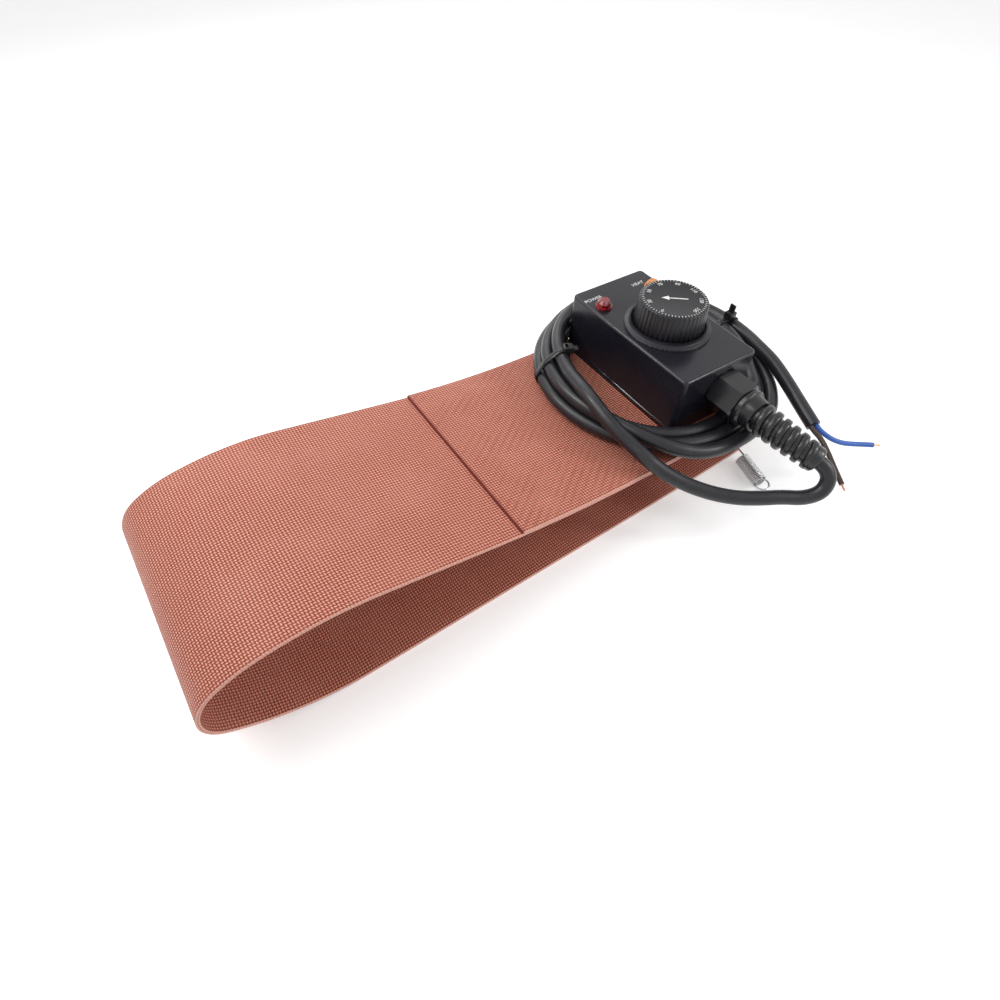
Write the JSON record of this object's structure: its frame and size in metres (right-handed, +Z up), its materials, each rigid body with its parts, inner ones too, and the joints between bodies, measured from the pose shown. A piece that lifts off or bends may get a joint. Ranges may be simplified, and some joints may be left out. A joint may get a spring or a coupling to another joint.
{
  "type": "silicone band heater",
  "caption": "Orange silicone strap heater lying as a flattened loop, with a black thermostat box, lamps, a dial knob, a cable gland and a coiled mains cable.",
  "frame": {"origin": "on the flat underside of the strap, halfway across its width", "axes": "+X along the strap from its fold towards the end that carries the box, +Y across the strap, +Z up from the surface it lies on"},
  "size_m": [0.325, 0.1843, 0.078],
  "materials": {
    "silicone": "satin, woven glass-cloth texture",
    "element_foil": "etched foil",
    "eyelet": "nickel plated",
    "spring_wire": "drawn wire",
    "box": "fine satin moulding",
    "knob": "satin moulding",
    "dial_ring": "satin moulding",
    "spindle": "turned",
    "thermostat": "moulded",
    "screw": "zinc plated",
    "lens_red": "clear tinted",
    "lens_amber": "clear tinted",
    "lamp_body": "moulded",
    "terminal_block": "moulded",
    "terminal_screw": "turned",
    "copper": "drawn copper",
    "gland": "satin nylon",
    "guard": "soft moulding",
    "seal": "matt",
    "cable": "satin sheath",
    "core_blue": "satin",
    "core_brown": "satin",
    "tie": "nylon"
  },
  "bodies": {
    "strap": {"heater_outer_ply": "silicone", "heater_inner_ply": "silicone", "terminal_cover": "silicone", "heating_element": "element_foil", "eyelets": "eyelet", "box_base": "box", "box_housing": "box", "dial_ring": "dial_ring", "thermostat_body": "thermostat", "panel_screws": "screw", "lamp_red_lens": "lens_red", "lamp_red_body": "lamp_body", "lamp_amber_lens": "lens_amber", "lamp_amber_body": "lamp_body", "terminal_block": "terminal_block", "terminal_screws": "terminal_screw", "sensor_bulb": "copper", "capillary_tube": "copper", "element_leads": "copper", "gland_body": "gland", "gland_seal": "seal", "gland_locknut": "gland", "gland_guard": "guard", "cable_inside": "cable", "cores_inside": "core_brown", "cable_lead": "cable", "cable_coil": "cable", "cable_tail": "cable", "tie_left": "tie", "tie_back": "tie", "core_blue": "core_blue", "core_brown": "core_brown", "copper_blue": "copper", "copper_brown": "copper"},
    "knob": {"knob": "knob", "spindle": "spindle"},
    "spring_near": {"spring_near": "spring_wire"},
    "spring_far": {"spring_far": "spring_wire"}
  },
  "joints": [
    {"name": "knob_turn", "type": "hinge", "parent": "strap", "child": "knob", "pos_m": [0.11953, 0, 0.06176], "axis": [0.0536, 0, 0.9986], "range_deg": [-135, 135]},
    {"name": "spring_near_swing", "type": "hinge", "parent": "strap", "child": "spring_near", "pos_m": [0.13881, -0.044, 0.00243], "axis": [0, 0, 1], "range_deg": [-8, 104]},
    {"name": "spring_far_swing", "type": "hinge", "parent": "strap", "child": "spring_far", "pos_m": [0.13881, 0.044, 0.00243], "axis": [0, 0, 1], "range_deg": [-104, 8]}
  ]
}
